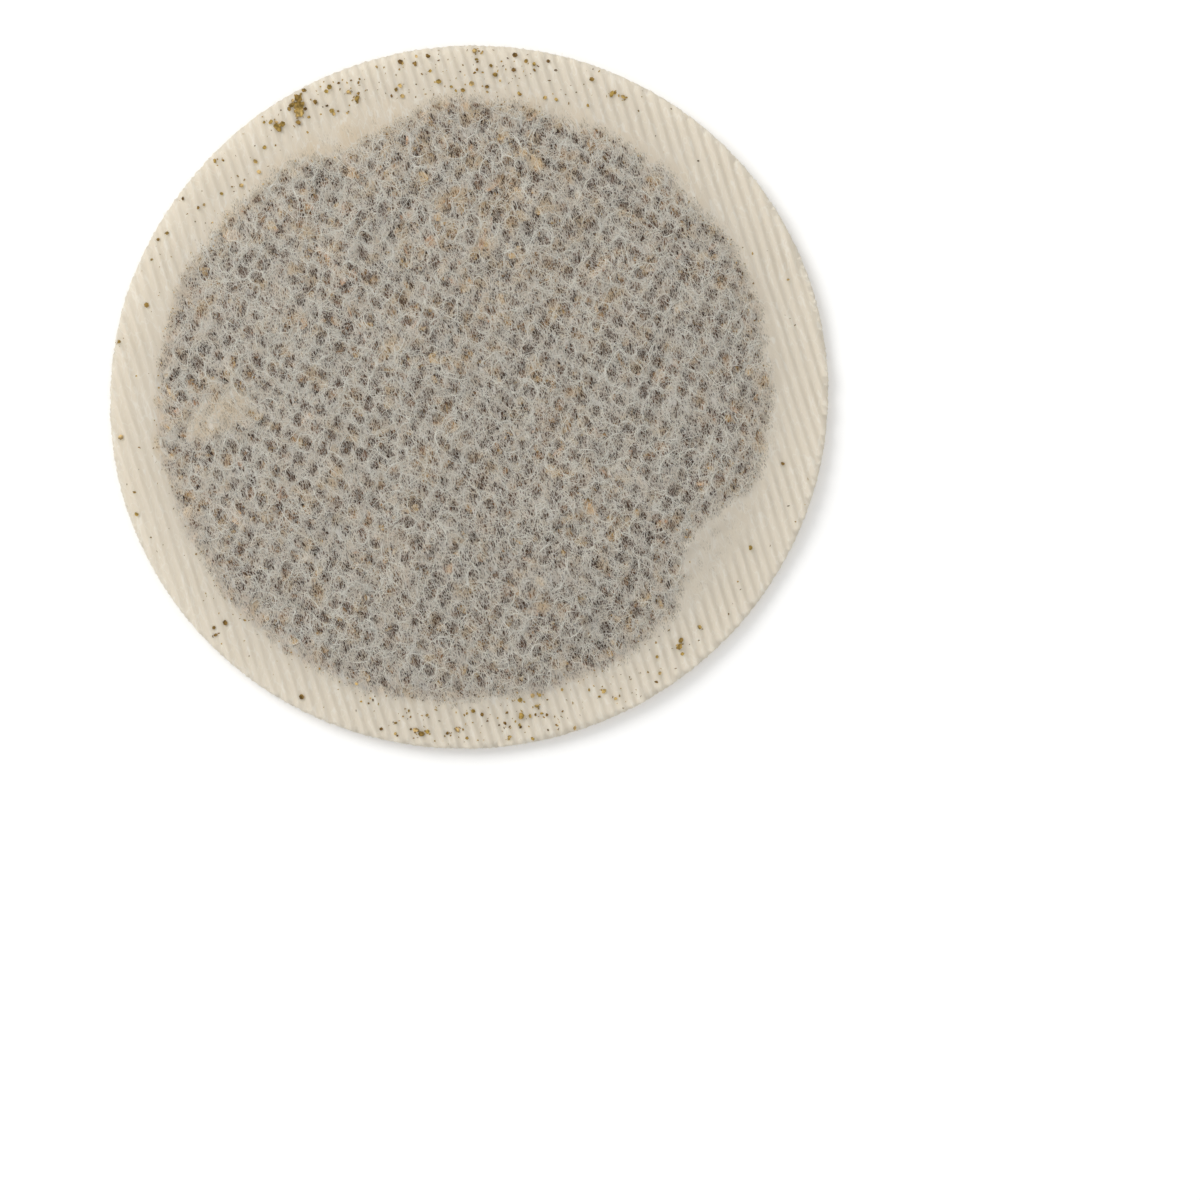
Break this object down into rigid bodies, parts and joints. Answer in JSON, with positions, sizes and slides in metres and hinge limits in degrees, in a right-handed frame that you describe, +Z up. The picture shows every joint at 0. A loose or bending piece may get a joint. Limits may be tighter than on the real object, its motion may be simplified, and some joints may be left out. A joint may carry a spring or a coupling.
{
  "type": "round tea bag",
  "caption": "Round pillow tea bag of crimp-sealed filter paper around loose tea, lying flat.",
  "frame": {"origin": "under the middle of the bag, on the surface that its flat foot rests on", "axes": "+Z up through the upper paper; +Y towards the top of the picture and +X to its right"},
  "size_m": [0.0708, 0.0692, 0.0039],
  "materials": {
    "filter_paper": "matt, porous, crimped at the rim",
    "tea_leaf": "dull, crumbly dried leaf"
  },
  "bodies": {
    "root": {"upper_paper": "filter_paper", "lower_paper": "filter_paper", "tea_fill": "tea_leaf"}
  },
  "joints": []
}
